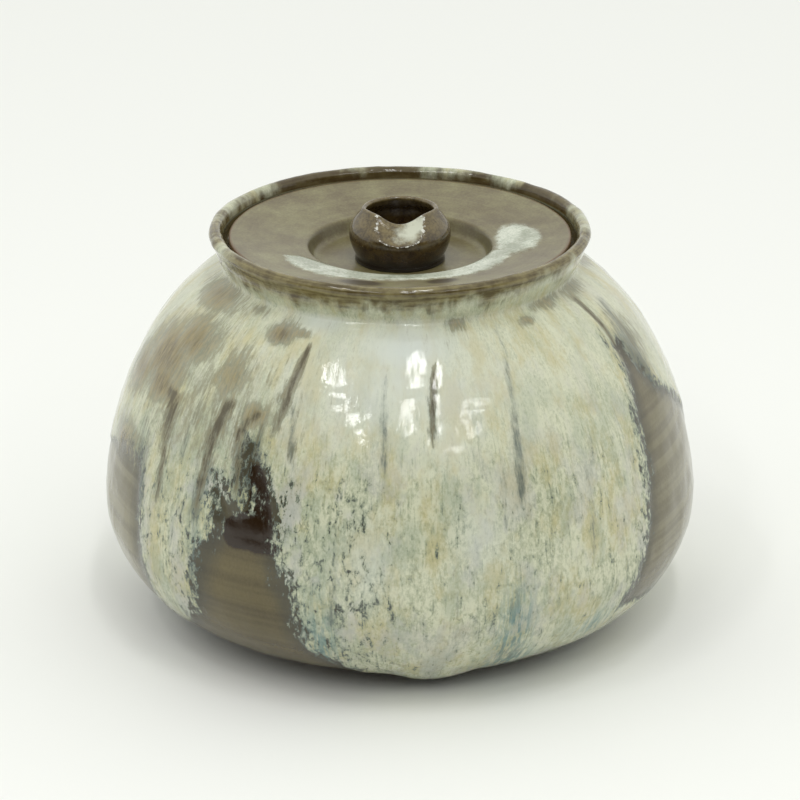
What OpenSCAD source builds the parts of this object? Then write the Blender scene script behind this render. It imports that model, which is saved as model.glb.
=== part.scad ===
// Mizusashi, a lidded stoneware jar that holds the fresh water at a tea gathering.
// Millimetres, +Z up. The origin is on the floor, on the axis of the wheel. The front is at -Y.

/* [Jar] */
// Diameter of the jar where it is widest
belly_d = 195.4; // [170:0.2:220]
// Height of the widest place above the floor
belly_z = 40.4; // [34:0.2:50]
// Height of the lip's crest above the floor
rim_z = 132; // [115:1:160]
// Thickness of the thrown wall
wall_t = 6; // [4:0.5:9]
// Thickness of the jar's floor
floor_t = 7; // [4:0.5:10]
// Slope of the shoulder where it leaves the neck, in degrees below level
shoulder_slope = 28.5; // [18:0.5:38]
// Reach of the shoulder's curve beside the neck
shoulder_reach = 38; // [28:1:44]
// Reach of the belly's curve above its widest place
belly_rise = 14; // [8:1:26]
// Reach of the belly's curve below its widest place
belly_tuck = 18; // [10:1:24]
// Reach of the curve where the belly turns under to the flat bottom
base_reach = 20; // [12:1:28]

/* [Neck and rim] */
// Outside diameter of the flared lip
rim_d = 124; // [110:1:136]
// Width of the rounded lip
lip_w = 4.2; // [3:0.2:6]
// How far the collar's inside leans in from the lip to the seat
seat_lean = 0.8; // [0:0.1:1.4]
// Height of the collar, from its joint with the shoulder to the lip's crest
collar_h = 13; // [11:0.5:18]
// Depth of the lid's seat below the lip's crest
seat_depth = 6.6; // [5:0.2:8]
// Width of the ledge that carries the lid
ledge_w = 6; // [4:0.5:8]
// Thickness of the collar at its joint with the shoulder
neck_t = 5.5; // [4:0.5:7]

/* [Foot] */
// Outside diameter of the foot ring
foot_d = 108; // [90:1:120]
// Width of the foot ring
foot_w = 8; // [5:0.5:12]
// Height of the foot ring
foot_h = 4; // [3:0.5:7]
// Width of the flat bottom that shows outside the foot ring
foot_inset = 6; // [2:0.5:10]

/* [Lid] */
// Thickness of the lid's edge
lid_edge_t = 3.8; // [3:0.2:5]
// Thickness of the lid inside its seat
lid_t = 4.8; // [4:0.2:6]
// How far the top falls from the lid's edge to the well
lid_fall = 4; // [1:0.2:6]
// Rounding of the lid's upper edge
lid_round = 1; // [0.4:0.2:1.6]
// Diameter of the well's upper edge
well_d = 60; // [54:1:68]
// Depth of the well
well_depth = 4.9; // [3:0.1:6]
// How far the well's wall leans in from its edge to its floor
well_lean = 2; // [1:0.5:5]

/* [Knob] */
// Diameter of the knob where it is widest
knob_d = 33; // [29:0.5:37]
// Height of the knob
knob_h = 17.4; // [16:0.2:20]
// Height of the widest place above the well's floor
knob_belly_z = 8.2; // [7.4:0.1:9.4]
// Reach of the side's curve above its widest place
knob_rise = 4.4; // [2:0.2:5.4]
// Reach of the side's curve below its widest place
knob_drop = 1.6; // [0.8:0.2:2.4]
// Diameter of the knob's foot
knob_foot_d = 29.4; // [28.6:0.2:32]
// Height of the foot's upright edge
knob_foot_h = 0.8; // [0.4:0.2:1.4]
// Diameter of the waist above the foot
knob_waist_d = 28.8; // [26:0.2:29.2]
// Height of the waist above the well's floor
knob_waist_z = 2; // [1.6:0.1:3]
// Slope of the side above the waist, in degrees above level
knob_waist_slope = 62; // [50:1:75]
// Reach of the side's curve above the waist
knob_waist_reach = 2; // [1:0.2:3]
// Outside diameter of the knob's mouth
knob_mouth_d = 25.2; // [23:0.2:27]
// Slope of the knob's side at its mouth, in degrees below level
knob_mouth_slope = 54; // [40:1:65]
// Reach of the side's curve beside the mouth
knob_mouth_reach = 3.6; // [2:0.2:4.4]
// Thickness of the knob's wall
knob_wall = 1.8; // [1.4:0.2:2.6]
// Thickness of the knob's floor
knob_floor = 4; // [2.5:0.5:6]
// Radius of the face that a thumb pressed into the front of the mouth
press_r = 34; // [28:2:50]
// How far the pressed face stays above the middle of the mouth
press_gap = 4.2; // [3.6:0.1:5]
// Direction that the pressed face looks, in degrees above level
press_tilt = 38; // [35:1:42]
// How far the front of the mouth was pushed back
press_in = 2.4; // [1.6:0.1:3.6]

/* [Fits] */
// Gap between the lid's edge and the collar's inside
lid_side_gap = 1.35; // [0.5:0.05:2.5]
// Gap between the lid's step and the mouth
mouth_gap = 1.2; // [0.5:0.1:2.5]

/* [Hidden] */
$fn = 180;

// Straight pieces that stand for each curve, and for each rounded lip
curve_steps = 20;
lip_steps = 10;

// The rim's diameter sets the seat, the mouth and the neck in turn
rim_r = rim_d / 2;
seat_r = rim_r - lip_w - seat_lean;
seat_z = rim_z - seat_depth;
mouth_r = seat_r - ledge_w;
neck_r = mouth_r + neck_t;
neck_z = rim_z - collar_h;

foot_r = foot_d / 2;
base_r = foot_r + foot_inset;
belly_r = belly_d / 2;

// The lid takes its edge from the seat and its step from the mouth
lid_r = seat_r - lid_side_gap;
lid_top_z = seat_z + lid_edge_t;
step_r = mouth_r - mouth_gap;
well_r = well_d / 2;
well_floor_r = well_r - well_lean;
well_edge_z = lid_top_z - lid_fall;
well_z = well_edge_z - well_depth;

knob_belly_r = knob_d / 2;
knob_mouth_r = knob_mouth_d / 2;
knob_waist_r = knob_waist_d / 2;
knob_lip_r = knob_wall / 2;

// Height of the lid's sloping top at a radius
function lid_top(r) =
    well_edge_z + lid_fall * (r - well_r) / (lid_r - lid_round - well_r);

// A point on a cubic curve, and the curve's direction there
function bezier(k, t) =
    let (u = 1 - t)
    u * u * u * k[0] + 3 * u * u * t * k[1] + 3 * u * t * t * k[2] + t * t * t * k[3];
function bezier_slope(k, t) =
    let (u = 1 - t)
    u * u * (k[1] - k[0]) + 2 * u * t * (k[2] - k[1]) + t * t * (k[3] - k[2]);

// A cubic curve as points, and the same curve set in by a wall of changing thickness
function curve(k) = [for (i = [0 : curve_steps]) bezier(k, i / curve_steps)];
function inside(k, from, to) = [
    for (i = [0 : curve_steps])
        let (
            t = i / curve_steps,
            along = bezier_slope(k, t),
            inward = [along.y, -along.x] / norm(along)
        )
        bezier(k, t) + inward * (from + (to - from) * t)
];

// Half a turn of a round lip, from its outside over the crest to its inside
function lip(centre, radius) = [
    for (i = [0 : lip_steps])
        let (turn = 180 * i / lip_steps)
        centre + radius * [cos(turn), sin(turn)]
];

function backwards(points) = [for (i = [len(points) - 1 : -1 : 0]) points[i]];

// The jar's outside in two curves: from the neck out to the belly, and on to the flat bottom
neck_edge = [neck_r, neck_z];
belly_edge = [belly_r, belly_z];
base_edge = [base_r, foot_h];
shoulder = [
    neck_edge,
    neck_edge + shoulder_reach * [cos(shoulder_slope), -sin(shoulder_slope)],
    belly_edge + [0, belly_rise],
    belly_edge
];
underside = [
    belly_edge,
    belly_edge - [0, belly_tuck],
    base_edge + [base_reach, 0],
    base_edge
];

module jar_body() {
    color([0.66, 0.64, 0.53])
    rotate_extrude()
    polygon(concat(
        curve(shoulder),
        curve(underside),
        [[0, foot_h], [0, foot_h + floor_t]],
        backwards(inside(underside, wall_t, floor_t)),
        backwards(inside(shoulder, wall_t, wall_t)),
        [[mouth_r, neck_z]]
    ));
}

module neck_rim() {
    lip_r = lip_w / 2;
    color([0.42, 0.36, 0.22])
    rotate_extrude()
    polygon(concat(
        [neck_edge],
        lip([rim_r - lip_r, rim_z - lip_r], lip_r),
        [[seat_r, seat_z], [mouth_r, seat_z], [mouth_r, neck_z]]
    ));
}

module foot_ring() {
    color([0.33, 0.24, 0.17])
    rotate_extrude()
    translate([foot_r - foot_w, 0])
    square([foot_w, foot_h]);
}

module lid_plate() {
    well_under_r = well_r + lid_t;
    color([0.45, 0.40, 0.32])
    rotate_extrude()
    polygon([
        [0, well_z],
        [well_floor_r, well_z],
        [well_r, well_edge_z],
        [lid_r - lid_round, lid_top_z],
        [lid_r, lid_top_z - lid_round],
        [lid_r, seat_z],
        [step_r, seat_z],
        [step_r, lid_top(step_r) - lid_t],
        [well_under_r, lid_top(well_under_r) - lid_t],
        [well_floor_r + lid_t, well_z - lid_t],
        [0, well_z - lid_t]
    ]);
}

// The knob's side in two curves, above its own foot: from the mouth out to the belly, and on to the waist
knob_mouth_edge = [knob_mouth_r, knob_h - knob_lip_r];
knob_belly_edge = [knob_belly_r, knob_belly_z];
knob_waist_edge = [knob_waist_r, knob_waist_z];
knob_upper = [
    knob_mouth_edge,
    knob_mouth_edge + knob_mouth_reach * [cos(knob_mouth_slope), -sin(knob_mouth_slope)],
    knob_belly_edge + [0, knob_rise],
    knob_belly_edge
];
knob_lower = [
    knob_belly_edge,
    knob_belly_edge - [0, knob_drop],
    knob_waist_edge + knob_waist_reach * [cos(knob_waist_slope), sin(knob_waist_slope)],
    knob_waist_edge
];

module knob_outside() {
    rotate_extrude()
    polygon(concat(
        [[0, knob_mouth_edge.y]],
        backwards(lip(knob_mouth_edge - [knob_lip_r, 0], knob_lip_r)),
        curve(knob_upper),
        curve(knob_lower),
        [[knob_foot_d / 2, knob_foot_h], [knob_foot_d / 2, 0], [0, 0]]
    ));
}

// The hollow follows the knob's side one wall further in, down to the knob's floor
module knob_hollow() {
    side = concat(inside(knob_upper, knob_wall, knob_wall), inside(knob_lower, knob_wall, knob_wall));
    above_floor = [for (p = side) if (p.y > knob_floor) p];
    foot_edge = [above_floor[len(above_floor) - 1].x, knob_floor];
    rotate_extrude()
    polygon(concat(
        [[0, above_floor[0].y]],
        above_floor,
        [foot_edge, [0, knob_floor]]
    ));
}

// The mouth, from the knob's floor to above its lip: round at the back, and pushed in at the front
module knob_mouth() {
    translate([0, 0, knob_floor])
    intersection() {
        cylinder(r = knob_mouth_r - knob_wall, h = knob_h);
        translate([0, press_in, 0])
        cylinder(r = knob_mouth_r - knob_wall, h = knob_h);
    }
}

// The ball whose face a thumb left in the front of the mouth, grown by a wall or not
module press(grown) {
    away = press_r + press_gap;
    translate([0, -away * cos(press_tilt), knob_h + away * sin(press_tilt)])
    sphere(r = press_r + grown);
}

module lid_knob() {
    color([0.26, 0.18, 0.11])
    translate([0, 0, well_z])
    difference() {
        knob_outside();
        press(0);
        knob_mouth();
        difference() {
            knob_hollow();
            press(knob_wall);
        }
    }
}

jar_body();
neck_rim();
foot_ring();
lid_plate();
lid_knob();
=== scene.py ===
import math

import bmesh
import bpy
import numpy as np
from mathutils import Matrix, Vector


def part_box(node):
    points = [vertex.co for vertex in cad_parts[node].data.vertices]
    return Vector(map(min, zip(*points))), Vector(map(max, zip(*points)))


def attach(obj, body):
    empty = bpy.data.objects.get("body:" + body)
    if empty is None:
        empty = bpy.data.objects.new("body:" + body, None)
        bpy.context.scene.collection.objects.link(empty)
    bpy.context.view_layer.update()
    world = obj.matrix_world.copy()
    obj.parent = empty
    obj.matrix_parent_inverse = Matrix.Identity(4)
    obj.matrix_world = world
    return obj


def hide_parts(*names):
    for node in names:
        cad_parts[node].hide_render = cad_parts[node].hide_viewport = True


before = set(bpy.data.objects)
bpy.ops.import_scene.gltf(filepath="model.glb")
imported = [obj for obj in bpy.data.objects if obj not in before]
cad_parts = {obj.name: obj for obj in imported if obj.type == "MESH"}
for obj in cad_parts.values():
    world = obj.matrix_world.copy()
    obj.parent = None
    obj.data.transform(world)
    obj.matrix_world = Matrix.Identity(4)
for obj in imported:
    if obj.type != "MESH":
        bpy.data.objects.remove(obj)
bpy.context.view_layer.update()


# Foot ring
# A low ring of bare, iron-bearing stoneware under the jar's floor. It is turned from the leather-hard
# clay with a loop tool, and wiped clean of glaze so that the jar doesn't stick to the kiln shelf.

mm = 0.001


class Wire:
    """A socket in a node tree. Sums written on it become Math nodes, and add() makes any other node."""

    def __init__(self, tree, socket=None):
        self.tree = tree
        self.socket = socket

    def add(self, kind, settings=None, sockets=None, out=0):
        node = self.tree.nodes.new(kind)
        for name, value in (settings or {}).items():
            if name == "stops":
                self.set_stops(node.color_ramp, value)
            else:
                setattr(node, name, value)
        for name, value in (sockets or {}).items():
            self.plug(node, name, value)
        outlet = node.outputs[out] if isinstance(out, int) else self.shown(node.outputs, out)
        return Wire(self.tree, outlet)

    def plug(self, node, name, value):
        inlet = node.inputs[name] if isinstance(name, int) else self.shown(node.inputs, name)
        if isinstance(value, Wire):
            self.tree.links.new(value.socket, inlet)
        else:
            inlet.default_value = value

    @staticmethod
    def shown(sockets, name):
        return next(s for s in sockets if s.name == name and s.enabled)

    @staticmethod
    def set_stops(ramp, stops):
        while len(ramp.elements) < len(stops):
            ramp.elements.new(1.0)
        for element, (place, colour) in zip(ramp.elements, stops):
            element.position = place
            element.color = colour

    def maths(self, operation, first, second=0.0):
        return self.add("ShaderNodeMath", {"operation": operation}, {0: first, 1: second})

    def __add__(self, other):
        return self.maths("ADD", self, other)

    def __radd__(self, other):
        return self.maths("ADD", other, self)

    def __sub__(self, other):
        return self.maths("SUBTRACT", self, other)

    def __rsub__(self, other):
        return self.maths("SUBTRACT", other, self)

    def __mul__(self, other):
        return self.maths("MULTIPLY", self, other)

    def __truediv__(self, other):
        return self.maths("DIVIDE", self, other)

    def step(self, low, high):
        """0 below low, 1 above high, and smooth between."""
        sockets = {"Value": self, "From Min": low, "From Max": high}
        return self.add("ShaderNodeMapRange", {"interpolation_type": "SMOOTHSTEP"}, sockets)

    def blend(self, none, full):
        """A colour that goes from none to full as this value goes from 0 to 1."""
        sockets = {"Factor": self, "A": none, "B": full}
        return self.add("ShaderNodeMix", {"data_type": "RGBA"}, sockets, "Result")

    def stretch(self, x, y, z):
        """This vector with its three parts multiplied."""
        sockets = {0: self, 1: (x, y, z)}
        return self.add("ShaderNodeVectorMath", {"operation": "MULTIPLY"}, sockets)

    def plus(self, other, share):
        """This vector with a share of another added."""
        sockets = {0: other, 1: (share, share, share), 2: self}
        return self.add("ShaderNodeVectorMath", {"operation": "MULTIPLY_ADD"}, sockets)

    def off_axis(self):
        """How far this place lies from the wheel's axis."""
        sockets = {0: self.stretch(1, 1, 0)}
        return self.add("ShaderNodeVectorMath", {"operation": "LENGTH"}, sockets, "Value")

    def noise(self, scale, detail=2.0, roughness=0.5, out="Fac"):
        """Cloudy values from 0 to 1 over this vector."""
        sockets = {"Vector": self, "Scale": scale, "Detail": detail, "Roughness": roughness}
        return self.add("ShaderNodeTexNoise", {}, sockets, out)


def linear(red, green, blue):
    """A colour as a photograph gives it, from 0 to 255, as the light that a shader works with."""
    parts = [value / 255 for value in (red, green, blue)]
    return tuple(p / 12.92 if p < 0.04045 else ((p + 0.055) / 1.055) ** 2.4 for p in parts) + (1.0,)


def throwing_tree():
    """Turns an outline of points (radius, 0, height) round the wheel's axis, with finger rings and sway."""
    tree = bpy.data.node_groups.new("thrown_on_the_wheel", "GeometryNodeTree")
    inlets = {
        "Outline": "NodeSocketGeometry",
        "Around": "NodeSocketInt",
        "Ring depth": "NodeSocketFloat",
        "Ring pitch": "NodeSocketFloat",
        "Sway depth": "NodeSocketFloat",
        "Sway length": "NodeSocketFloat",
        "Finish": "NodeSocketMaterial",
    }
    for name, kind in inlets.items():
        tree.interface.new_socket(name, in_out="INPUT", socket_type=kind)
    tree.interface.new_socket("Thrown", in_out="OUTPUT", socket_type="NodeSocketGeometry")
    entry = tree.nodes.new("NodeGroupInput")
    given = {name: Wire(tree, entry.outputs[name]) for name in inlets}
    wire = Wire(tree)

    # A flat grid with one column for each facet round the wheel and one row for each point of the outline
    outline = given["Outline"]
    rows = wire.add("GeometryNodeAttributeDomainSize", {"component": "MESH"}, {"Geometry": outline})
    size = {"Size X": 1.0, "Size Y": 1.0, "Vertices X": given["Around"] + 1, "Vertices Y": rows}
    grid = wire.add("GeometryNodeMeshGrid", {}, size)
    place = wire.add("GeometryNodeInputPosition")
    across = wire.add("ShaderNodeSeparateXYZ", {}, {0: place}, "X")
    along = wire.add("ShaderNodeSeparateXYZ", {}, {0: place}, "Y")
    row = wire.maths("ROUND", (along + 0.5) * (rows - 1))
    picked = {"Geometry": outline, "Value": place, "Index": row}
    point = wire.add("GeometryNodeSampleIndex", {"data_type": "FLOAT_VECTOR"}, picked)
    radius = wire.add("ShaderNodeSeparateXYZ", {}, {0: point}, "X")
    height = wire.add("ShaderNodeSeparateXYZ", {}, {0: point}, "Z")

    # The grid is wrapped round the axis, from the back over the left to the front, and closed
    turn = across * (2 * math.pi)
    side = radius * wire.maths("SINE", turn)
    depth = radius * wire.maths("COSINE", turn) * -1
    wrapped = wire.add("ShaderNodeCombineXYZ", {}, {"X": side, "Y": depth, "Z": height})
    kept = {"Geometry": grid, "Name": "row", "Value": row}
    counted = wire.add("GeometryNodeStoreNamedAttribute", {}, kept)
    turned = wire.add("GeometryNodeSetPosition", {}, {"Geometry": counted, "Position": wrapped})
    closed = wire.add("GeometryNodeMergeByDistance", {}, {"Geometry": turned, "Distance": 0.01 * mm})

    # Finger rings follow radius and height only, so that they run level; the sway is a slow unevenness
    level = wire.add("ShaderNodeSeparateXYZ", {}, {0: place}, "Z")
    section = wire.add("ShaderNodeCombineXYZ", {}, {"X": place.off_axis(), "Y": level})
    rings = section.noise(wire.maths("DIVIDE", 1.0, given["Ring pitch"]), 1.0)
    sway = place.noise(wire.maths("DIVIDE", 1.0, given["Sway length"]), 3.0)
    relief = (rings - 0.5) * given["Ring depth"] * 2 + (sway - 0.5) * given["Sway depth"] * 2
    outward = wire.add("GeometryNodeInputNormal")
    push = wire.add("ShaderNodeVectorMath", {"operation": "SCALE"}, {0: outward, "Scale": relief})
    uneven = wire.add("GeometryNodeSetPosition", {}, {"Geometry": closed, "Offset": push})
    smooth = wire.add("GeometryNodeSetShadeSmooth", {}, {"Geometry": uneven})
    real = wire.add("GeometryNodeRealizeInstances", {}, {"Geometry": smooth})
    coated = wire.add("GeometryNodeSetMaterial", {}, {"Geometry": real, "Material": given["Finish"]})
    tree.links.new(coated.socket, tree.nodes.new("NodeGroupOutput").inputs["Thrown"])
    return tree


throwing = throwing_tree()


def throw(name, outline, finish, around, ring_depth=0.0, ring_pitch=1.0, sway_depth=0.0, sway_length=1.0):
    """A piece made by turning an outline of (radius, height) points in millimetres."""
    flat = bpy.data.meshes.new(name)
    links = [(i, i + 1) for i in range(len(outline) - 1)]
    flat.from_pydata([(r * mm, 0.0, z * mm) for r, z in outline], links, [])
    piece = bpy.data.objects.new(name, flat)
    bpy.context.collection.objects.link(piece)
    modifier = piece.modifiers.new("throwing", "NODES")
    modifier.node_group = throwing
    given = {
        "Around": around,
        "Ring depth": ring_depth * mm,
        "Ring pitch": ring_pitch * mm,
        "Sway depth": sway_depth * mm,
        "Sway length": sway_length * mm,
        "Finish": finish,
    }
    for item in throwing.interface.items_tree:
        if item.in_out == "INPUT" and item.name in given:
            modifier[item.identifier] = given[item.name]
    graph = bpy.context.evaluated_depsgraph_get()
    thrown = bpy.data.meshes.new_from_object(
        piece.evaluated_get(graph), preserve_all_data_layers=True, depsgraph=graph
    )
    piece.modifiers.clear()
    piece.data = thrown
    return piece


def eased(points, reach, steps=4):
    """The points with each corner between the two ends rounded off over a reach."""
    points = np.array(points, float)
    most_of_side = 0.45
    rounded = [points[0]]
    for before, corner, after in zip(points[:-2], points[1:-1], points[2:]):
        back = before - corner
        forth = after - corner
        start = corner + back * min(most_of_side, reach / np.linalg.norm(back))
        end = corner + forth * min(most_of_side, reach / np.linalg.norm(forth))
        for i in range(steps + 1):
            t = i / steps
            rounded.append((1 - t) ** 2 * start + 2 * (1 - t) * t * corner + t * t * end)
    return np.array(rounded + [points[-1]])


def spaced(points, gap):
    """The same line with points about one gap apart."""
    points = np.array(points, float)
    travel = np.r_[0, np.cumsum(np.linalg.norm(np.diff(points, axis=0), axis=1))]
    stops = np.linspace(0, travel[-1], max(2, round(travel[-1] / gap) + 1))
    return np.stack([np.interp(stops, travel, points[:, i]) for i in (0, 1)], axis=1)


def new_finish(name):
    """A bare material, with its wires and the place on the object in millimetres."""
    finish = bpy.data.materials.new(name)
    finish.use_nodes = True
    finish.node_tree.nodes.clear()
    wire = Wire(finish.node_tree)
    place = wire.add("ShaderNodeTexCoord", {}, {}, "Object").stretch(1 / mm, 1 / mm, 1 / mm)
    return finish, wire, place


def surface_relief(wire, strength, depth, height):
    """A fine unevenness of a finish, with its depth in millimetres."""
    return wire.add("ShaderNodeBump", {}, {"Strength": strength, "Distance": depth * mm, "Height": height})


def show(wire, **sockets):
    """Ends a material in one glossy or matt surface."""
    named = {name.replace("_", " "): value for name, value in sockets.items()}
    surface = wire.add("ShaderNodeBsdfPrincipled", {}, named)
    out = wire.tree.nodes.new("ShaderNodeOutputMaterial")
    wire.tree.links.new(surface.socket, out.inputs["Surface"])


foot_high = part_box("foot_ring")[1]
foot_r = foot_high[0] / mm
foot_h = foot_high[2] / mm
foot_w = 8.0
foot_edge = 1.2
foot_gap = 1.0
foot_facets = 240

finish, wire, place = new_finish("turned_bare_stoneware")
clay_grain = place.noise(1.6, 3.0, 0.6)
tool_marks = place.stretch(0.05, 0.05, 1.0).noise(1.4, 2.0, 0.6)
clay_dark = linear(88, 62, 44)
clay_light = linear(128, 96, 70)
show(
    wire,
    Base_Color=(clay_grain * 0.6 + tool_marks * 0.4).step(0.35, 0.65).blend(clay_dark, clay_light),
    Roughness=0.85,
    Normal=surface_relief(wire, 0.5, 0.3, clay_grain + tool_marks),
)
foot_inner = foot_r - foot_w
foot_middle = foot_r - foot_w / 2
foot_loop = [
    (foot_middle, 0),
    (foot_r, 0),
    (foot_r, foot_h),
    (foot_inner, foot_h),
    (foot_inner, 0),
    (foot_middle, 0),
]
foot_outline = spaced(eased(foot_loop, foot_edge), foot_gap)
foot = throw("turned_foot_ring", foot_outline, finish, foot_facets)
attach(foot, "jar")
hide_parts("foot_ring")


# Jar and collar
# A squat jar thrown in iron-bearing stoneware, with a collar luted on its shoulder that flares to a lip.
# It is dipped in dark iron glaze, and a pale straw-ash glaze is poured over it, which runs in the fire.

body_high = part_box("jar_body")[1]
collar_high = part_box("neck_rim")[1]
belly_r = body_high[0] / mm
neck_z = body_high[2] / mm
rim_r = collar_high[0] / mm
rim_z = collar_high[2] / mm

belly_z = 40.4
base_r = 60.0
floor_z = 11.0
shoulder_slope = math.radians(28.5)
shoulder_reach = 38.0
belly_rise = 14.0
belly_tuck = 18.0
base_reach = 20.0
wall = 6.0
lip_w = 4.2
seat_r = 57.0
seat_z = 125.4
mouth_r = 51.0
neck_r = 56.5


def bend(start, start_reach, end_reach, end, steps=60):
    """A cubic curve between two points, with a reach from each that gives its direction there."""
    start = np.array(start, float)
    end = np.array(end, float)
    near = start + np.array(start_reach)
    far = end + np.array(end_reach)
    t = np.linspace(0, 1, steps + 1)[:, None]
    return (1 - t) ** 3 * start + 3 * (1 - t) ** 2 * t * near + 3 * (1 - t) * t * t * far + t ** 3 * end


def set_in(line, depth):
    """A line that runs up the outside of a wall, moved to the wall's inside."""
    along = np.gradient(line, axis=0)
    along /= np.linalg.norm(along, axis=1)[:, None]
    return line + depth * np.stack([-along[:, 1], along[:, 0]], axis=1)


belly_edge = (belly_r, belly_z)
neck_edge = (neck_r, neck_z)
shoulder_lead = (shoulder_reach * math.cos(shoulder_slope), -shoulder_reach * math.sin(shoulder_slope))
underside = bend((base_r, foot_h), (base_reach, 0), (0, -belly_tuck), belly_edge)
shoulder = bend(belly_edge, (0, belly_rise), shoulder_lead, neck_edge)
lip_r = lip_w / 2
lip_centre = np.array([rim_r - lip_r, rim_z - lip_r])
lip_steps = 12
lip_turn = np.linspace(0, math.pi, lip_steps + 1)
lip = lip_centre + lip_r * np.stack([np.cos(lip_turn), np.sin(lip_turn)], axis=1)

neck_fillet = 4.0
clear_of_neck = np.linalg.norm(shoulder - neck_edge, axis=1) > neck_fillet
shoulder_end = shoulder[clear_of_neck][-1]
up_collar = lip[0] - np.array(neck_edge)
collar_start = np.array(neck_edge) + up_collar * neck_fillet / np.linalg.norm(up_collar)
neck_hollow = eased([shoulder_end, neck_edge, collar_start], neck_fillet * 2, 8)
outside = np.vstack([underside, shoulder[clear_of_neck][1:-1], neck_hollow[1:-1], [collar_start]])
inside = set_in(np.vstack([underside, shoulder[1:]]), wall)[::-1]
seat = eased([lip[-1], (seat_r, seat_z), (mouth_r, seat_z), (mouth_r, neck_z), inside[0]], 1.2)
jar_outline = np.vstack([
    spaced([(0, foot_h), (base_r, foot_h)], 4.0)[:-1],
    spaced(outside, 1.2)[:-1],
    spaced(np.vstack([[collar_start], lip]), 0.8)[:-1],
    spaced(seat, 1.2)[:-1],
    spaced(np.vstack([inside, [(0, floor_z)]]), 4.0),
])

# The ash covers the jar but for gaps, each given from its foot up as rows of a height and the degrees
# round from the front to its left and right edge
bare_gaps = [
    [(3.5, -84, -9), (8, -72, -9), (11, -60, -11), (15, -52, -14.5), (20, -46, -17.5), (25, -43.5, -19),
     (32, -41.5, -19.5), (40, -40.5, -21), (50, -39, -23), (54, -37.4, -23.8), (58, -36.2, -24.2),
     (62, -34.8, -24.8), (63.5, -33, -25), (65, -29.6, -25.2), (70, -30.4, -25.8), (76, -31.6, -27.4),
     (80, -32, -29.2), (84, -31.6, -31)],
    [(60, -36.6, -33), (64, -36.6, -33), (67, -37.6, -34), (70, -38, -36.4)],
    [(10, -100, -66), (15, -103, -62), (20, -104, -59.4), (30, -103, -58.4), (45, -100, -58.7),
     (52, -96, -59.8), (57, -90, -60.6), (62, -82, -61.6), (66, -73, -63)],
    [(20, 64, 92), (25, 50, 98), (30, 50.6, 101), (36, 51.4, 102), (48, 54.6, 100), (58, 56.4, 96),
     (66, 57.2, 91), (74, 57.8, 85), (80, 59, 79), (85, 60, 73.5), (90, 61.2, 71), (96, 63.4, 69),
     (102, 64, 67)],
    [(12, 126, 156), (25, 130, 152), (40, 132, 150), (55, 133, 147), (70, 135, 144), (85, 137, 141)],
    [(8, 166, 206), (20, 172, 202), (35, 174, 199), (50, 177, 196), (62, 182, 193)],
    [(12, 216, 240), (30, 219, 237), (50, 221, 235), (70, 222, 232), (88, 224, 230), (102, 226, 228)],
]

# Pools of thick, nearly black iron glaze in those gaps, as rows of the same kind
iron_pools = [
    [(53.5, -34, -23.5), (57, -35.4, -23.5), (62, -35, -24), (66, -30, -25), (75, -31, -26.5),
     (80, -31.6, -29)],
    [(52, 132, 150), (70, 134, 146)],
]

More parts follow.
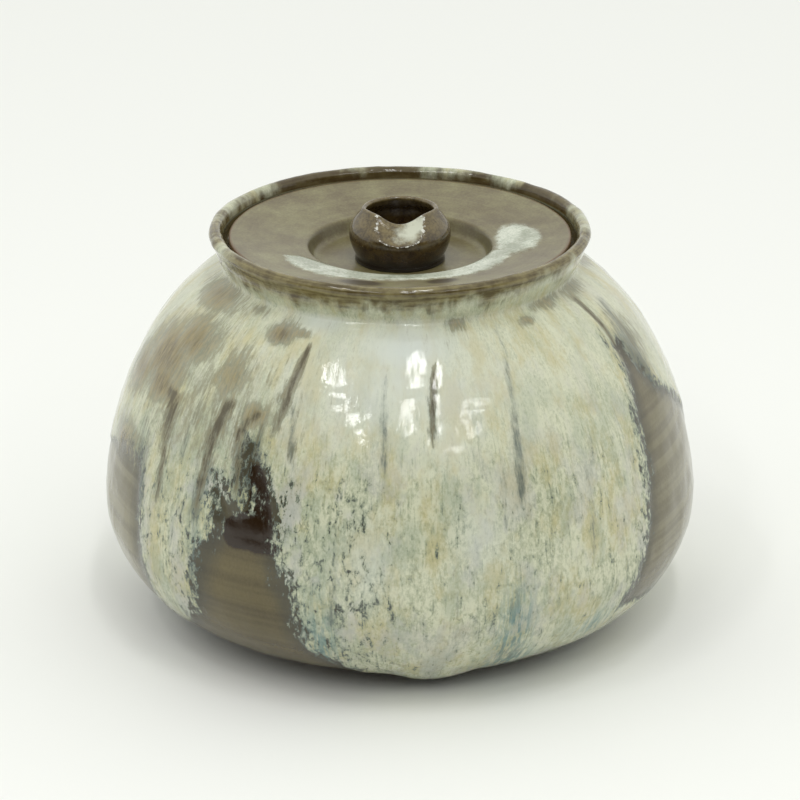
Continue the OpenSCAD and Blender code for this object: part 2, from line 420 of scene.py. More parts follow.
# Runs where the ash parted and the iron shows through: how brown, how slate-blue, and rows from the top
# down of a height, the degrees round from the front and the half width in degrees
parted_runs = [
    (0.90, 0.5, [(92, -59, 4), (86, -56.6, 2.8), (80, -55.8, 2), (72, -54.4, 1.4), (64, -54, 1.1),
                 (56, -53.6, 0.8)]),
    (0.00, 0.6, [(98, -48, 1.6), (86, -48.6, 1.4), (72, -49, 1)]),
    (0.95, 0.8, [(96, -40.6, 2.2), (90, -41.2, 2.2), (84, -42, 1.8), (78, -42, 1.4), (70, -42.2, 1.2),
                 (56, -42.4, 0.9)]),
    (0.00, 0.6, [(60, -41.4, 1.4), (34, -42.6, 1.4)]),
    (0.80, 0.7, [(95, -31, 2), (91, -34, 2.2), (87, -35.6, 1.6), (80, -34.4, 1.1), (74, -33.6, 0.9),
                 (66, -33, 0.7)]),
    (0.35, 1.0, [(92, -30.4, 0.7), (86, -30.6, 1.2), (80, -30.8, 1.4), (72, -30.6, 1.2)]),
    (1.00, 0.5, [(113, -25, 0.9), (108, -25.6, 1.3), (103, -26, 1.7), (97, -26.4, 1.7), (92, -27.2, 1.2),
                 (86, -27.6, 0.7)]),
    (0.10, 0.8, [(99, -24.4, 0.7), (91, -23.2, 1), (81, -22.4, 0.7)]),
    (0.20, 0.7, [(84, -66, 2.2), (74, -64, 2), (62, -62, 1.2)]),
    (0.00, 0.8, [(78, -62, 2.4), (66, -60.4, 2), (52, -59.4, 1.4)]),
    (0.80, 0.5, [(127, -10.2, 1.6), (121.6, -10.4, 1.3)]),
    (0.95, 0.4, [(127, -5, 1.4), (121.4, -4.8, 1.1)]),
    (0.60, 0.8, [(121, -1.8, 1.2), (118.6, -1.8, 1.6)]),
    (0.80, 0.4, [(127, 1, 1.8), (122.2, 0.8, 1)]),
    (0.80, 0.6, [(126, 8.4, 1.4), (120, 9.6, 1.2)]),
    (0.60, 0.8, [(125, 28, 1), (120, 27.4, 0.8)]),
    (0.60, 0.8, [(125.4, 33, 1), (121, 32, 0.8)]),
    (0.00, 0.75, [(107, -3.8, 0.6), (101, -3.6, 1.2), (92, -3.4, 1.2), (84, -3.2, 0.9), (79, -3.2, 0.5)]),
    (0.90, 0.7, [(110, 8.8, 0.6), (106, 8.2, 1), (98, 7.4, 1), (88, 6.8, 0.6)]),
    (0.15, 0.75, [(118, 29.4, 1.6), (112, 28.6, 1.1), (104, 26.8, 0.9), (90, 25, 1.2), (78, 24.4, 1.2),
                  (68, 23.8, 0.7)]),
    (0.00, 0.5, [(88, 21, 0.8), (74, 20.4, 1), (60, 20, 0.6)]),
    (0.00, 0.45, [(44, 21.4, 2), (28, 22.4, 4), (10, 23, 4.6)]),
    (0.00, 0.6, [(66, -12, 0.7), (48, -12.4, 1.1), (30, -12.6, 0.8)]),
    (0.00, 0.5, [(60, 10, 0.7), (40, 10.4, 1), (22, 10.6, 0.7)]),
    (0.00, 0.5, [(82, 40, 0.8), (62, 39, 1.2), (44, 38.4, 0.8)]),
    (0.95, 0.5, [(117, 64.4, 1.4), (104, 64.5, 0.9), (95, 64.5, 2)]),
    (0.20, 1.0, [(113, 74, 3), (104, 71, 5), (94, 70, 4), (84, 70, 2)]),
    (0.80, 0.3, [(112, 104, 3), (96, 106, 6), (80, 108, 3), (62, 109, 1.6)]),
    (0.90, 0.5, [(108, 133, 1.2), (90, 138, 2), (76, 139, 1.2)]),
    (0.60, 0.6, [(114, 168, 2), (98, 171, 4), (74, 174, 2)]),
    (0.90, 0.4, [(110, 196, 1.4), (88, 193, 2.2), (66, 190, 1.4)]),
    (0.50, 0.7, [(112, 236, 3), (96, 238, 5), (70, 240, 1.6)]),
]

# Broad patches of thin ash, most of them at the root of the collar: degrees, height, half width, half
# height and how brown
thin_patches = [
    (-61, 105, 14, 8, 0.85),
    (-69, 97, 19, 10, 1.0),
    (-79, 89, 14, 8, 0.9),
    (-65, 91, 12, 6, 1.0),
    (-68, 115.4, 16, 4.4, 0.8),
    (-43, 101, 9, 8, 0.7),
    (-33, 93, 7.5, 4, 0.75),
    (-34.5, 113.6, 5.4, 2.8, 1.0),
    (-29, 114.6, 4, 1.2, 0.75),
    (-47, 117, 6, 1.6, 0.5),
    (-50, 92, 42, 20, 0.38),
    (-72, 67, 15, 9, 0.75),
    (73, 100, 13, 12, 0.4),
    (17, 118.4, 4.5, 2.2, 0.7),
    (40.5, 115.8, 3.6, 1.2, 0.65),
    (52, 118.2, 9, 2, 0.65),
    (68, 117.8, 9, 2.6, 0.6),
    (100, 117, 12, 3, 0.6),
    (150, 117, 10, 2.6, 0.7),
    (205, 117, 14, 3, 0.6),
]

# Patches where the ash turns blue: degrees, height, half width, half height and how blue
blue_patches = [
    (22, 28, 6, 16, 0.9),
    (24, 12, 9, 8, 0.9),
    (-15, 24, 5, 18, 0.7),
    (42, 22, 8, 6, 0.6),
    (-41, 55, 4, 20, 0.3),
    (140, 30, 8, 16, 0.8),
]

# Patches of thick, cool white ash: degrees, height, half width, half height and how white
white_patches = [
    (2, 113, 17, 6, 1.0),
    (0, 104, 30, 12, 0.6),
    (-24, 117.5, 9, 2.5, 0.9),
    (10, 92, 7, 12, 0.45),
    (-6, 55, 8, 14, 0.5),
    (15, 62, 9, 12, 0.45),
    (178, 112, 18, 6, 0.9),
]

# Ash left on the lip itself: degrees, half width in degrees, and in millimetres how far down from the
# lip's crest and how far it reaches from there
lip_patches = [
    (-112, 15, 1, 4),
    (-66, 8, 2, 4),
    (-163, 3, 0.5, 2.5),
    (165, 6, 0, 2.5),
    (141, 5, 0.5, 2.5),
    (96, 9, 2, 4),
]

# Where the glaze ends: degrees and how far down from the lip's crest the ash starts, and the radius at
# which it stops under the belly
lip_bare = [
    (-180, 9.5), (-90, 8), (-40, 8), (-12, 9), (18, 9), (28, 7), (44, 5.4), (66, 5.4), (90, 8), (180, 9.5)
]
bare_base_r = 70.0


def soft(value, low, high):
    """0 below low, 1 above high, and smooth between."""
    t = np.clip((value - low) / (high - low), 0, 1)
    return t * t * (3 - 2 * t)


def triples(holder, field):
    """One vector of each item of a mesh, as rows of three."""
    values = np.empty(len(holder) * 3, np.float32)
    holder.foreach_get(field, values)
    return values.reshape(-1, 3).astype(float)


def put_points(piece, points):
    piece.data.vertices.foreach_set("co", points.astype(np.float32).ravel())
    piece.data.update()


def on_the_wheel(piece, outline):
    """Where each point of a thrown piece came from: degrees round from the front, radius, height, row."""
    x, y, _ = triples(piece.data.vertices, "co").T
    rows = np.empty(len(piece.data.vertices), np.float32)
    piece.data.attributes["row"].data.foreach_get("value", rows)
    rows = np.rint(rows).astype(int)
    radius, height = np.array(outline)[rows].T
    return np.degrees(np.arctan2(x, -y)), radius, height, rows


def note(piece, name, values):
    """Keeps one value or one vector at each point for the shader."""
    values = np.asarray(values, np.float32)
    kind, field = ("FLOAT", "value") if values.ndim == 1 else ("FLOAT_VECTOR", "vector")
    piece.data.attributes.new(name, kind, "POINT").data.foreach_set(field, values.ravel())


def swell(piece, depth):
    """Moves each point along its normal by a depth in millimetres."""
    points = triples(piece.data.vertices, "co")
    normals = triples(piece.data.vertex_normals, "vector")
    put_points(piece, points + normals * (depth * mm)[:, None])


def degrees_off(azimuth, middle):
    """The degrees from middle to azimuth, the short way round."""
    return (azimuth - middle + 180) % 360 - 180


def attribute(wire, name, out="Fac"):
    """What note() kept under a name, for use in a finish."""
    return wire.add("ShaderNodeAttribute", {"attribute_name": name}, {}, out)


finish, wire, place = new_finish("iron_glaze_under_poured_ash")
run = attribute(wire, "run", "Vector")
edge = attribute(wire, "edge")
thin = attribute(wire, "thin")
veil = attribute(wire, "veil")
slate = attribute(wire, "slate")
curd = attribute(wire, "curd")
blue = attribute(wire, "blue")
white = attribute(wire, "white")
pool = attribute(wire, "pool")
lipped = attribute(wire, "lipped")
clay = attribute(wire, "clay")

# The ash ran down the wall in the fire, so most of what it shows is drawn out along its run
hairs = run.stretch(1, 1, 0.14).noise(0.8, 4.0, 0.6)
streaks = run.stretch(1, 1, 0.2).noise(0.32, 4.0, 0.62)
threads = run.stretch(1, 1, 0.12).noise(1.7, 3.0, 0.6)
grain = run.stretch(1, 1, 0.5).noise(0.6, 6.0, 0.7)
drips = run.stretch(1, 1, 0.25).noise(0.19, 2.0, 0.5)
blots = place.noise(0.3, 3.0, 0.6)
clouds = run.stretch(1, 1, 0.45).noise(0.06, 2.0, 0.5)
tints = run.stretch(1, 1, 0.5).noise(0.1, 4.0, 0.66, "Color")
warmth = wire.add("ShaderNodeSeparateColor", {}, {"Color": tints}, "Red")
bloom = wire.add("ShaderNodeSeparateColor", {}, {"Color": tints}, "Green")
moss = wire.add("ShaderNodeSeparateColor", {}, {"Color": tints}, "Blue")
warp = run.stretch(1, 1, 0.6).noise(0.35, 3.0, 0.6, "Color")
curds = wire.add(
    "ShaderNodeTexVoronoi",
    {"feature": "DISTANCE_TO_EDGE"},
    {"Vector": run.stretch(1, 1, 0.5).plus(warp, 5.0), "Scale": 0.36, "Randomness": 1.0},
    "Distance",
)
broken = run.stretch(1, 1, 0.5).noise(0.4, 3.0, 0.6).step(0.44, 0.62)
gaps = (1 - curds.step(0.0, 0.22)) * broken
flecks = 1 - run.stretch(1, 1, 0.4).plus(warp, 2.5).noise(0.55, 3.0, 0.55).step(0.33, 0.43)
lines = 1 - run.stretch(1, 1, 0.1).noise(1.1, 3.0, 0.55).step(0.34, 0.44)
crystals = run.stretch(1, 1, 0.6).noise(1.5, 3.0, 0.75)

# Threads show from the shoulder down; nearer the collar the ash lies still, in soft clouds
drawn = 1 - wire.add("ShaderNodeSeparateXYZ", {}, {0: place}, "Z").step(82, 110)
broad = run.stretch(1, 1, 0.3).noise(0.07, 2.0, 0.5)
mottle = run.stretch(1, 1, 0.55).plus(warp, 4.0).noise(0.24, 5.0, 0.68)
on_the_lip = (broad - 0.5) * 14 + (drips - 0.5) * 9 + (blots - 0.5) * 8
ragged = (1 - lipped) * ((drips - 0.5) * 8 + (grain - 0.5) * 14) + lipped * on_the_lip
cover = (edge * (0.6 + lipped * 0.6) + ragged).step(-2.5 - lipped * 1.5, 3.5 + lipped * 1.5)
near_edge = 1 - edge.step(1, 10)
drawn_out = (hairs - 0.5) * 0.42 + (threads - 0.5) * 0.35 - lines * (1 - lipped) * 0.18
threaded = drawn_out * (0.2 + drawn * 0.8)
clouded = (mottle - 0.5) * (0.3 + curd * 0.8) + (clouds - 0.5) * 0.3
fine = (grain - 0.5) * (0.5 + curd * 0.95) + (crystals - 0.5) * 0.7 + threaded + clouded
body = 0.97 - curd * 0.14 + fine - flecks * (0.05 + curd * 0.42) - gaps * curd * 0.5
body = body - near_edge * 0.1 + white * 0.12
ash = (cover + lipped * (1 - cover)) * body

# Its colours from thin to thick, then the tints of the thick ash, the blue, and the parted runs and veils
ash_colours = [
    (0.20, linear(60, 63, 58)),
    (0.36, linear(96, 102, 93)),
    (0.50, linear(130, 138, 121)),
    (0.64, linear(160, 166, 142)),
    (0.80, linear(182, 186, 158)),
    (1.00, linear(208, 210, 184)),
]
ramp = wire.add("ShaderNodeValToRGB", {"stops": ash_colours}, {"Fac": ash}, "Color")
thick = ash.step(0.45, 0.7)
ochre = (warmth.step(0.44, 0.64) * thick * 0.55).blend(ramp, linear(188, 177, 124))
mossy = (moss.step(0.46, 0.64) * thick * (0.18 + drawn * 0.2)).blend(ochre, linear(142, 156, 136))
lavender = (bloom.step(0.48, 0.64) * thick * (0.2 + curd * 0.45)).blend(mossy, linear(188, 187, 186))
whitened = (white * thick * 0.8).blend(lavender, linear(206, 213, 208))
blued = (blue * (0.08 + hairs.step(0.44, 0.56) * 0.9)).blend(whitened, linear(96, 134, 136))
broken_up = (streaks - 0.5) * 0.5 + (hairs - 0.5) * 0.9 + (threads - 0.5) * drawn * 0.8
broken_up = broken_up + (grain - 0.5) * 0.9
slated = (slate + broken_up * 0.9).step(0.2, 0.85)
parted = (slated * 0.85).blend(blued, linear(84, 96, 92))
clouded_over = (mottle - 0.5) * 0.9 + (grain - 0.5) * 0.8 + (hairs - 0.5) * 0.7 + (threads - 0.5) * 0.5
veil_open = (veil + clouded_over * 0.9).step(0.05, 1.0)
run_open = (thin + broken_up * 0.8).step(0.22, 0.92)
bared = run_open + veil_open * (1 - run_open)
veiled = (bared.step(0.0, 0.4) * (1 - bared.step(0.4, 0.9)) * 0.55).blend(parted, linear(122, 130, 114))
amber_tone = (grain * 0.4 + threads * 0.4 + mottle * 0.2).step(0.38, 0.62)
amber = amber_tone.blend(linear(78, 60, 26), linear(140, 126, 84))
run_core = (run_open.step(0.4, 1.0) * 0.85).blend(amber, linear(56, 45, 22))
ash_coat = (bared * 0.88).blend(veiled, run_core)

# The iron glaze under it lies in level bands over the finger rings, is painted lighter at the left and
# right sides as a painted sheen, the room's reflection at grazing angles, is nearly black in its pools and
# olive on the lip
bands = run.stretch(0.015, 0.015, 1).noise(0.36, 2.0, 0.5)
dipped_tone = bands.step(0.3, 0.7) * 0.5 + clouds * 0.5 + (crystals - 0.5) * 0.9
dipped = dipped_tone.blend(linear(74, 64, 37), linear(106, 96, 63))
# Lighter towards the left and right sides: a painted sheen, the room's reflection at grazing angles
sheen_tone = (bands + (crystals - 0.5) * 0.4).step(0.34, 0.66)
iron_with_painted_sheen = sheen_tone.blend(linear(124, 119, 97), linear(145, 141, 117))
to_the_side = wire.maths("ABSOLUTE", wire.add("ShaderNodeSeparateXYZ", {}, {0: place}, "X"))
iron = (to_the_side.step(66, 94) * 0.75).blend(dipped, iron_with_painted_sheen)
fringe = ((edge + (mottle - 0.5) * 6).step(-9, 0) * 0.6).blend(iron, linear(56, 59, 55))
pooled = (pool + (streaks - 0.5) * 0.9).step(0.25, 0.8).blend(fringe, linear(38, 24, 8))
along_lip = run.stretch(0.06, 0.06, 1).noise(0.8, 3.0, 0.6) * 0.6 + blots * 0.4
# The lip is coloured darker towards its back
behind = wire.add("ShaderNodeSeparateXYZ", {}, {0: place}, "Y").step(-10, 40)
lip_olive = along_lip.step(0.36, 0.64).blend(linear(78, 66, 36), linear(132, 122, 82))
lip_iron = (behind * 0.7).blend(lip_olive, linear(60, 44, 18))
ground = lipped.blend(pooled, lip_iron)
coated = ash.step(0.12, 0.36) * (1 - lipped) + cover * lipped
glazed = coated.blend(ground, ash_coat)
coloured = clay.blend(glazed, linear(110, 84, 60))
pitted = grain * (0.2 + curd * 0.4) + hairs * 0.15 + streaks * 0.6 + cover * 0.5
show(
    wire,
    Base_Color=coloured,
    Roughness=0.06 + clay * 0.8 + curd * 0.08,
    IOR=1.52,
    Normal=surface_relief(wire, 0.3, 0.3, pitted),
)

jar = throw(
    "glazed_jar", jar_outline, finish, around=480, ring_depth=0.12, ring_pitch=4.0, sway_depth=0.5,
    sway_length=13.0,
)
azimuth, radius, height, row = on_the_wheel(jar, jar_outline)
crest = int(np.argmax(jar_outline[:, 1]))
travel = np.r_[0, np.cumsum(np.linalg.norm(np.diff(jar_outline, axis=0), axis=1))]
down = (travel[crest] - travel)[row]
per_degree = math.pi / 180 * radius


def within(rows):
    """How far each point of the jar lies inside the edges that rows give, in millimetres."""
    levels, lefts, rights = np.array(rows, float).T
    middle = (lefts.mean() + rights.mean()) / 2
    off = degrees_off(azimuth, middle)
    to_left = off - (np.interp(height, levels, lefts) - middle)
    to_right = np.interp(height, levels, rights) - middle - off
    across = np.minimum(to_left, to_right) * per_degree
    return np.minimum(across, np.minimum(levels[-1] - height, height - levels[0]))


def patches(places):
    """Each soft round patch of the jar, at its amount in the middle and fading to 0."""
    field = np.zeros(len(row))
    for middle, middle_z, half_w, half_h, amount in places:
        off = degrees_off(azimuth, middle) * per_degree / half_w
        rise = (height - middle_z) / half_h
        field = np.maximum(field, amount * np.exp(-off ** 2 - rise ** 2))
    return field


# How far each point lies inside the ash, in millimetres up to a reach, and below 0 outside it
edge_reach = 15.0
under_belly_z = 12.0
outer_face = down > 0
inner = down < -lip_r * 2.6
lip_edge = down - np.interp(azimuth, *np.array(lip_bare, float).T)
for middle, half, below, reach in lip_patches:
    away = np.hypot(degrees_off(azimuth, middle) / half, (down - below) / reach)
    lip_edge = np.maximum(lip_edge, 3 - 3 * away)
cover_edge = np.minimum(-np.max([within(rows) for rows in bare_gaps], axis=0), lip_edge)
cover_edge = np.clip(cover_edge, -edge_reach, edge_reach)
base_edge = np.minimum(cover_edge, radius - bare_base_r)
cover_edge = np.where((height < under_belly_z) & outer_face, base_edge, cover_edge)
cover_edge = np.where(inner, -edge_reach, cover_edge)

# A run tapers in at both ends, is brownest at its top and slate-blue lower down and at its sides
thinness = np.zeros(len(row))
slateness = np.zeros(len(row))
groove = np.zeros(len(row))
narrow = 2.5
for brown, slate_blue, rows in parted_runs:
    levels, turns, halves = np.array(rows[::-1], float).T
    off = degrees_off(azimuth, np.interp(height, levels, turns)) / np.interp(height, levels, halves)
    ends = soft(levels[-1] + 2 - height, 0, 4) * soft(height - levels[0] + 3, 0, 8)
    low_down = soft(levels[-1] - height, 0, levels[-1] - levels[0])
    core = ends * np.exp(-off ** 2)
    halo = ends * np.exp(-(off / (1 + 0.8 * brown)) ** 2)
    thinness = np.maximum(thinness, brown * core * (1 - 0.35 * low_down))
    slateness = np.maximum(slateness, slate_blue * halo * (0.6 + 0.4 * low_down))
    groove = np.maximum(groove, (halves.max() < narrow) * ends * np.exp(-(off / 1.5) ** 2))

# The ash curdled below the shoulder, most of all left of the front and along its edges
curd_top = 92.0
left_turn = -26.0
to_the_left = soft(32 - np.abs(degrees_off(azimuth, left_turn)), 0, 18)
along_edges = soft(10 - cover_edge, 0, 8)
curdled = soft(curd_top - height, 0, 22) * (0.36 + 0.36 * to_the_left + 0.3 * along_edges)

# The finish follows the run of the ash: round the wheel at one radius, and down from the lip's crest
lip_depth = 15.0
run_r = 80.0
turn = np.radians(azimuth)
note(jar, "run", np.stack([run_r * np.sin(turn), -run_r * np.cos(turn), down], axis=1))
note(jar, "edge", cover_edge)
note(jar, "thin", thinness * ~inner)
note(jar, "veil", patches(thin_patches) * ~inner)
note(jar, "slate", slateness * ~inner)
note(jar, "lipped", soft(lip_depth - down, 0, 4) * ~inner)
note(jar, "curd", curdled)
note(jar, "blue", patches(blue_patches))
note(jar, "white", patches(white_patches) * ~inner)
note(jar, "pool", np.max([soft(within(rows), -1.5, 1.5) for rows in iron_pools], axis=0))
note(jar, "clay", (height < foot_h + 0.2) & outer_face)

# The ash stands proud of the iron glaze, and hangs in one drop at the front of the base
ash_thick = 0.6
drop_turn = 7.5
drop_r = 73.0
drop_out = 2.0
drop_half_w = 10.5
drop_half_h = 8.0
drop_top = 20.0
beside = np.abs(degrees_off(azimuth, drop_turn)) * per_degree / drop_half_w
drop = np.exp(-beside ** 3 - ((radius - drop_r) / drop_half_h) ** 2) * outer_face * (height < drop_top)
coat = soft(cover_edge, -2, 3) * (1 - 0.3 * groove) * soft(down, 5, 9)
swell(jar, ash_thick * coat + drop_out * drop)


def lift_off(piece, name, first, last):
    """Takes the rows from first to last off a thrown piece, as a piece of its own. Both are closed at the
    cut, and keep the normals of the whole, so that the glaze runs over the joint without a seam."""
    note(piece, "lie", triples(piece.data.vertex_normals, "vector"))
    taken = bpy.data.objects.new(name, piece.data.copy())
    bpy.context.collection.objects.link(taken)
    for part, keeps in ((piece, False), (taken, True)):
        shell = bmesh.new()
        shell.from_mesh(part.data)
        rows = shell.verts.layers.float["row"]
        away = [f for f in shell.faces if all(first <= v[rows] <= last for v in f.verts) != keeps]
        bmesh.ops.delete(shell, geom=away, context="FACES")
        bmesh.ops.bridge_loops(shell, edges=[e for e in shell.edges if e.is_boundary])
        shell.to_mesh(part.data)
        shell.free()
        lies = triples(part.data.attributes["lie"].data, "vector")
        part.data.normals_split_custom_set_from_vertices(lies)
    return taken


outline_r, outline_z = jar_outline.T
from_joint = np.abs(outline_z - neck_z)
on_bore = np.abs(outline_r - mouth_r) < 0.1
joint_outside = int(np.argmin(np.where(outline_r < neck_r - 3, np.inf, from_joint)))
joint_inside = int(np.argmin(np.where(on_bore, from_joint, np.inf)))
collar = lift_off(jar, "flared_collar", joint_outside, joint_inside)
for piece, node, slot in ((jar, "jar_body", "ash_glaze"), (collar, "neck_rim", "rim_glaze")):
    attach(piece, "jar")
    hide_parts(node)


# Lid
# A flat drop-in lid, thrown upside down, that sits on the ledge inside the collar. Its top falls to a
# sunk well round the knob. It has a thin satin iron glaze, with splashes of the pale ash.

lid_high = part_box("lid_plate")[1]
lid_r = lid_high[0] / mm
lid_top_z = lid_high[2] / mm
lid_t = 4.8
lid_fall = 4.0
step_r = 49.8
well_r = 30.0
well_floor_r = 28.0
well_edge_z = lid_top_z - lid_fall
well_z = 120.3
well_wall = ((well_r + well_floor_r) / 2, (well_edge_z + well_z) / 2)


def lid_top(radius):
    """The height of the lid's sloping top outside its well."""
    return well_edge_z + lid_fall * (radius - well_r) / (lid_r - 1 - well_r)


lid_edges = eased([
    (0, well_z - lid_t),
    (well_floor_r + lid_t, well_z - lid_t),
    (well_r + lid_t, lid_top(well_r + lid_t) - lid_t),
    (step_r, lid_top(step_r) - lid_t),
    (step_r, seat_z),
    (lid_r, seat_z),
    (lid_r, lid_top_z),
    (well_r, well_edge_z),
    well_wall,
], 0.7)
well_hollow = eased([well_wall, (well_floor_r, well_z), (0, well_z)], 3.0)
lid_outline = spaced(np.vstack([lid_edges, well_hollow[1:]]), 0.7)

# The splash along the front of the well: degrees round from the front, inner and outer radius
splash = [
    (-67, 36, 40), (-62, 33, 41), (-52, 31, 43), (-36, 29.5, 43.5), (-22, 29, 42), (-10, 29, 40),
    (2, 29, 38.5), (14, 28.5, 38.5), (27, 28.5, 40), (40, 28.5, 40.5), (52, 28.5, 40), (62, 29, 38.5),
    (72, 30, 38), (78, 31, 39),
]

# The round blob at its right end: degrees and radius of its middle, and half of its width and height
blob_turn = 91.0
blob_r = 38.4
blob_half_w = 14.5
blob_half_h = 7.4

# Places in front of the splash where the iron glaze lies thick: degrees and radius, and half of each
dark_spots = [(-16, 45, 9, 3.6), (18, 43, 7, 3.2)]

finish, wire, place = new_finish("satin_iron_glaze_with_splashes")
poured = attribute(wire, "pale")
thick_iron = attribute(wire, "dark")
cloudy = place.noise(0.09, 3.0, 0.6)
speckle = place.noise(1.3, 3.0, 0.6)
from_axis = place.off_axis()
turning = wire.add("ShaderNodeCombineXYZ", {}, {"X": from_axis}).noise(0.55, 3.0, 0.6)
lid_tone = cloudy * 0.55 + speckle * 0.35 + turning * 0.15
lid_colours = [
    (0.36, linear(90, 78, 50)),
    (0.48, linear(105, 95, 64)),
    (0.58, linear(118, 111, 76)),
    (0.70, linear(134, 130, 92)),
]
lid_brown = wire.add("ShaderNodeValToRGB", {"stops": lid_colours}, {"Fac": lid_tone}, "Color")
aside = wire.maths("ABSOLUTE", wire.add("ShaderNodeSeparateXYZ", {}, {0: place}, "X")) / from_axis
# A dark line of painted shade runs round the well's wall, darkest at the left and right sides
painted_well_shade = from_axis.step(28.4, 29) * (1 - from_axis.step(29.8, 30.4))
sunk = ((1 - from_axis.step(26, 31)) * 0.2).blend(lid_brown, linear(88, 80, 50))
well_with_painted_shade = (painted_well_shade * (0.05 + aside.step(0.4, 0.9) * 0.3)).blend(sunk, linear(58, 49, 33))
spotted = (thick_iron + (speckle - 0.5) * 0.5).step(0.15, 0.6).blend(well_with_painted_shade, linear(58, 46, 16))
rim_rust = (from_axis + (speckle - 0.5) * 2).step(54.4, 55.2)
lid_ground = (rim_rust * 0.7).blend(spotted, linear(108, 78, 56))
splashed = (poured + (place.noise(0.22, 4.0, 0.6) - 0.5) * 6).step(-0.8, 1.4)
ash_tone = (cloudy * 0.5 + speckle * 0.5).step(0.38, 0.62)
lid_ash = ash_tone.blend(linear(158, 168, 148), linear(208, 212, 196))
laid_on = splashed * (0.72 + cloudy.step(0.4, 0.55) * 0.24)
show(
    wire,
    Base_Color=laid_on.blend(lid_ground, lid_ash),
    Roughness=0.3 - splashed * 0.12,
    Normal=surface_relief(wire, 0.2, 0.4, turning * 0.5 + splashed),
)

lid = throw(
    "glazed_lid", lid_outline, finish, around=360, ring_depth=0.05, ring_pitch=3.0, sway_depth=0.15,
    sway_length=20.0,
)
lid_turn, lid_radius, lid_height, _ = on_the_wheel(lid, lid_outline)
turns, inners, outers = np.array(splash, float).T
from_inner = lid_radius - np.interp(lid_turn, turns, inners)
from_outer = np.interp(lid_turn, turns, outers) - lid_radius
from_ends = np.minimum(lid_turn - turns[0], turns[-1] - lid_turn) * math.pi / 180 * lid_radius
front_splash = np.minimum(np.minimum(from_inner, from_outer), from_ends)
blob_off = degrees_off(lid_turn, blob_turn) * math.pi / 180 * blob_r / blob_half_w
blob = (1 - np.hypot(blob_off, (lid_radius - blob_r) / blob_half_h)) * blob_half_h
splash_edge = np.maximum(front_splash, blob)
spots = np.zeros(len(lid_turn))
for middle, spot_r, half_turn, half_r in dark_spots:
    away = np.hypot(degrees_off(lid_turn, middle) / half_turn, (lid_radius - spot_r) / half_r)
    spots = np.maximum(spots, np.exp(-away ** 2))
below_top = np.interp(lid_radius, [0, well_floor_r, lid_r], [well_z - 1, well_z - 1, lid_top_z - 2])
top_face = lid_height > below_top
note(lid, "dark", spots * top_face)
note(lid, "pale", np.where(top_face, splash_edge, -10))
splash_thick = 0.35
swell(lid, splash_thick * soft(splash_edge, -1, 2) * top_face)
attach(lid, "lid")
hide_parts("lid_plate")


# Knob
# A small thrown bowl, luted into the well of the lid, whose wall was pressed in at the front with a
# thumb while soft. It is dipped in the dark iron glaze, with a lick of ash on the pressed face.

knob_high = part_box("lid_knob")[1]
knob_h = knob_high[2] / mm - well_z
knob_belly_r = knob_high[0] / mm
knob_belly_z = 8.2
knob_rise = 4.4
knob_drop = 1.6
knob_foot_r = 14.7
knob_foot_h = 0.8
knob_waist_r = 14.4
knob_waist_z = 2.0
knob_waist_slope = math.radians(62)
knob_waist_reach = 2.0
knob_mouth_r = 12.6
knob_mouth_slope = math.radians(54)
knob_mouth_reach = 3.6
knob_wall = 1.8
knob_floor = 4.0
press_r = 34.0
press_gap = 4.2
press_tilt = math.radians(38)
press_in = 2.4

knob_lip_r = knob_wall / 2
waist_lead = (knob_waist_reach * math.cos(knob_waist_slope), knob_waist_reach * math.sin(knob_waist_slope))
mouth_lead = (knob_mouth_reach * math.cos(knob_mouth_slope), -knob_mouth_reach * math.sin(knob_mouth_slope))
waist_edge = (knob_waist_r, knob_waist_z)
widest = (knob_belly_r, knob_belly_z)
mouth_edge = (knob_mouth_r, knob_h - knob_lip_r)
knob_lower = bend(waist_edge, waist_lead, (0, -knob_drop), widest, 16)
knob_upper = bend(widest, (0, knob_rise), mouth_lead, mouth_edge, 16)
knob_side = np.vstack([knob_lower, knob_upper[1:]])
knob_lip = np.array([knob_mouth_r - knob_lip_r, knob_h - knob_lip_r])
knob_lip = knob_lip + knob_lip_r * np.stack([np.cos(lip_turn), np.sin(lip_turn)], axis=1)
knob_crest = lip_steps // 2
hollow = set_in(knob_side, knob_wall)[::-1]
hollow = hollow[(hollow[:, 1] > knob_floor + 0.5) & (hollow[:, 1] < knob_h - knob_lip_r)]
knob_skin = spaced(np.vstack([
    eased([(0, 0), (knob_foot_r, 0), (knob_foot_r, knob_foot_h), waist_edge], 0.5),
    knob_side[1:],
    knob_lip[1:knob_crest + 1],
]), 0.4)
knob_inside = spaced(np.vstack([
    knob_lip[knob_crest:],
    hollow[1:],
    [(hollow[-1][0] - 1, knob_floor), (0, knob_floor)],
]), 0.5)
knob_outline = np.vstack([knob_skin, knob_inside[1:]])

finish, wire, place = new_finish("dark_iron_glaze")
dabbed = attribute(wire, "pale")
olive = attribute(wire, "olive")
fold = attribute(wire, "fold")
foot_dark = attribute(wire, "foot_dark")
knob_clouds = place.noise(0.3, 4.0, 0.6)
specks = place.noise(1.2, 3.0, 0.6)
knob_dark = knob_clouds.step(0.35, 0.65).blend(linear(38, 22, 12), linear(66, 50, 24))
knob_tone = knob_clouds * 0.5 + specks * 0.5
knob_olive = (olive * (0.4 + knob_tone.step(0.34, 0.66) * 0.6)).blend(knob_dark, linear(122, 108, 70))
licked = (dabbed + (place.noise(0.4, 4.0, 0.6) - 0.5) * 5).step(-1.0, 2.4)
knob_licked = (licked * 0.94).blend(knob_olive, linear(206, 209, 190))
dimples = place.noise(0.9, 2.0, 0.5)
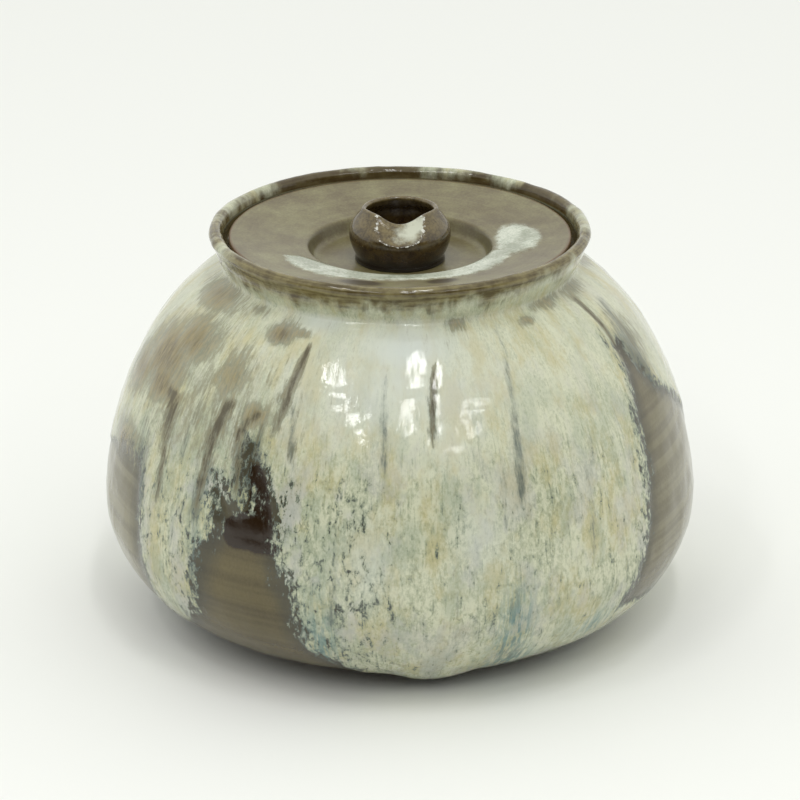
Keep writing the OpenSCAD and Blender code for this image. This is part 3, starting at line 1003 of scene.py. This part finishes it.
# Pale flecks along the fold are a painted highlight, the lamps' glints on the ridge
painted_fold_glints = (fold + (dimples - 0.5) * 2.2 + (specks - 0.5) * 2.4).step(0.85, 1.3)
knob_with_painted_glints = (painted_fold_glints * 0.9).blend(knob_licked, linear(222, 223, 214))
dimpled = specks * 0.2 + licked * 0.2 + dimples * (0.2 + fold * 1.2)
# The knob's foot is painted near black, a painted shade where it stands low in the well
show(
    wire,
    Base_Color=(foot_dark * 0.95).blend(knob_with_painted_glints, linear(18, 10, 10)),
    Roughness=0.08,
    IOR=1.6,
    Normal=surface_relief(wire, 0.6, 0.5, dimpled),
)

knob = throw(
    "glazed_knob", knob_outline + (0, well_z), finish, around=220, ring_depth=0.06, ring_pitch=3.0,
    sway_depth=0.12, sway_length=9.0,
)
_, _, knob_height, knob_row = on_the_wheel(knob, knob_outline)

# The front of the soft rim was pushed back, and its wall laid down against a nearly flat face
points = triples(knob.data.vertices, "co") / mm - (0, 0, well_z)
inner_share = soft(knob_row, len(knob_skin), len(knob_skin) + 8)
near_rim = soft(knob_height, knob_belly_z + 1.5, knob_h - 1)
points[:, 1] += press_in * near_rim * soft(-points[:, 1], -1.5, 6)
thumb_away = press_r + press_gap
thumb_y = -thumb_away * math.cos(press_tilt)
thumb_z = knob_h + thumb_away * math.sin(press_tilt)
off_thumb = points[:, 0] ** 2 + (points[:, 1] - thumb_y) ** 2
face_z = thumb_z - np.sqrt(np.maximum((press_r + knob_wall * inner_share) ** 2 - off_thumb, 0))
meets = points[:, 2] - face_z
press_soft = 0.7
pushed = press_soft * np.logaddexp(0, meets / press_soft)
points[:, 2] -= pushed * soft(knob_height, knob_floor, knob_floor + 2)
put_points(knob, (points + (0, 0, well_z)) * mm)

# The lick of ash leans across the pressed face, and pale flecks along the fold round it are a painted
# highlight, the lamps' glints on the fold
lick_x = 3.8
lick_y = -10.4
lick_r = 3.4
lick_lean = 0.3
fold_half_w = 0.6
knob_shade_top = 4.6
x, y, z = points.T
outer_share = 1 - inner_share
on_face = soft(meets, 0, 1.2) * outer_share
leaning = (y - lick_y) - lick_lean * (x - lick_x)
lick = lick_r - np.hypot((x - lick_x) / 1.7, leaning / 1.2)
note(knob, "pale", np.minimum(lick, soft(meets, -0.4, 0.6) * outer_share * 8 - 4))
note(knob, "olive", np.maximum(soft(z, 6, 14) * 0.8, on_face) * (1 - inner_share * 0.5))
note(knob, "fold", np.exp(-(meets / fold_half_w) ** 2) * outer_share * (y < 0) * soft(z, 8, 10))
note(knob, "foot_dark", soft(knob_shade_top - z, 0, 3))
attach(knob, "lid")
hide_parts("lid_knob")


# Table and light
# A pale table in a pale room, under three rows of ceiling lamps that the wet-looking glaze mirrors. The
# room in front of the table is dark, and the table ends before it.

table_front = -0.85
table_reach = 4.0
corners = [(-table_reach, table_front, 0), (table_reach, table_front, 0), (table_reach, table_reach, 0),
           (-table_reach, table_reach, 0)]
table_top = bpy.data.meshes.new("table")
table_top.from_pydata(corners, [], [(0, 1, 2, 3)])
table = bpy.data.objects.new("table", table_top)
bpy.context.collection.objects.link(table)
finish, wire, place = new_finish("pale_table")
show(wire, Base_Color=linear(239, 240, 237), Roughness=0.9)
table_top.materials.append(finish)

world = bpy.data.worlds.new("room")
bpy.context.scene.world = world
world.use_nodes = True
world.node_tree.nodes.clear()
wire = Wire(world.node_tree)
looking = wire.add("ShaderNodeTexCoord", {}, {}, "Generated")
backward = wire.add("ShaderNodeSeparateXYZ", {}, {0: looking}, "Y")
upward = wire.add("ShaderNodeSeparateXYZ", {}, {0: looking}, "Z")
seen = wire.add("ShaderNodeLightPath", {}, {}, "Is Camera Ray")
dark_front = (backward * -1).step(0.15, 0.55) * (1 - upward.step(0.3, 0.6))
room = dark_front.blend(linear(246, 247, 243), linear(36, 36, 34))
backdrop = seen.blend(room, linear(250, 251, 247))
sky = wire.add("ShaderNodeBackground", {}, {"Color": backdrop, "Strength": 1.04})
out = world.node_tree.nodes.new("ShaderNodeOutputWorld")
world.node_tree.links.new(sky.socket, out.inputs["Surface"])

# Each lamp: how far to the side, where its near and far end are, and its watts
lamp_height = 2.0
lamp_width = 0.13
lamps = [
    (-0.85, -0.5, -1.0, 3.2),
    (-0.95, -1.2, -1.7, 3.2),
    (-0.8, -1.9, -2.3, 3.2),
    (-0.85, -2.5, -2.9, 3.2),
    (0.25, -0.4, -1.2, 5.5),
    (0.25, -1.5, -2.4, 5.5),
    (1.35, -1.6, -2.3, 3.0),
    (1.2, -2.6, -3.2, 3.0),
]
for side, near, far, watts in lamps:
    light = bpy.data.lights.new("ceiling_lamp", "AREA")
    light.shape = "RECTANGLE"
    light.size = lamp_width
    light.size_y = near - far
    light.energy = watts
    lamp = bpy.data.objects.new("ceiling_lamp", light)
    bpy.context.collection.objects.link(lamp)
    lamp.location = (side, (near + far) / 2, lamp_height)


# Camera
# A long lens in front of the jar, which looks down on it by about 22 degrees, as the photograph does. It
# aims at the middle of the jar's height, and the whole of the jar is sharp.

eye_distance = 1.2
eye_tilt = math.radians(21.86)
aim = Vector((0, 0, 0.0705))
lens_length = 163.3
film_width = 36
camera_data = bpy.data.cameras.new("camera")
camera_data.sensor_width = film_width
camera_data.lens = lens_length
camera = bpy.data.objects.new("camera", camera_data)
bpy.context.collection.objects.link(camera)
camera.location = aim + Vector((0, -math.cos(eye_tilt), math.sin(eye_tilt))) * eye_distance
camera.rotation_euler = (aim - camera.location).to_track_quat("-Z", "Y").to_euler()
bpy.context.scene.camera = camera
bpy.context.scene.view_settings.view_transform = "Standard"
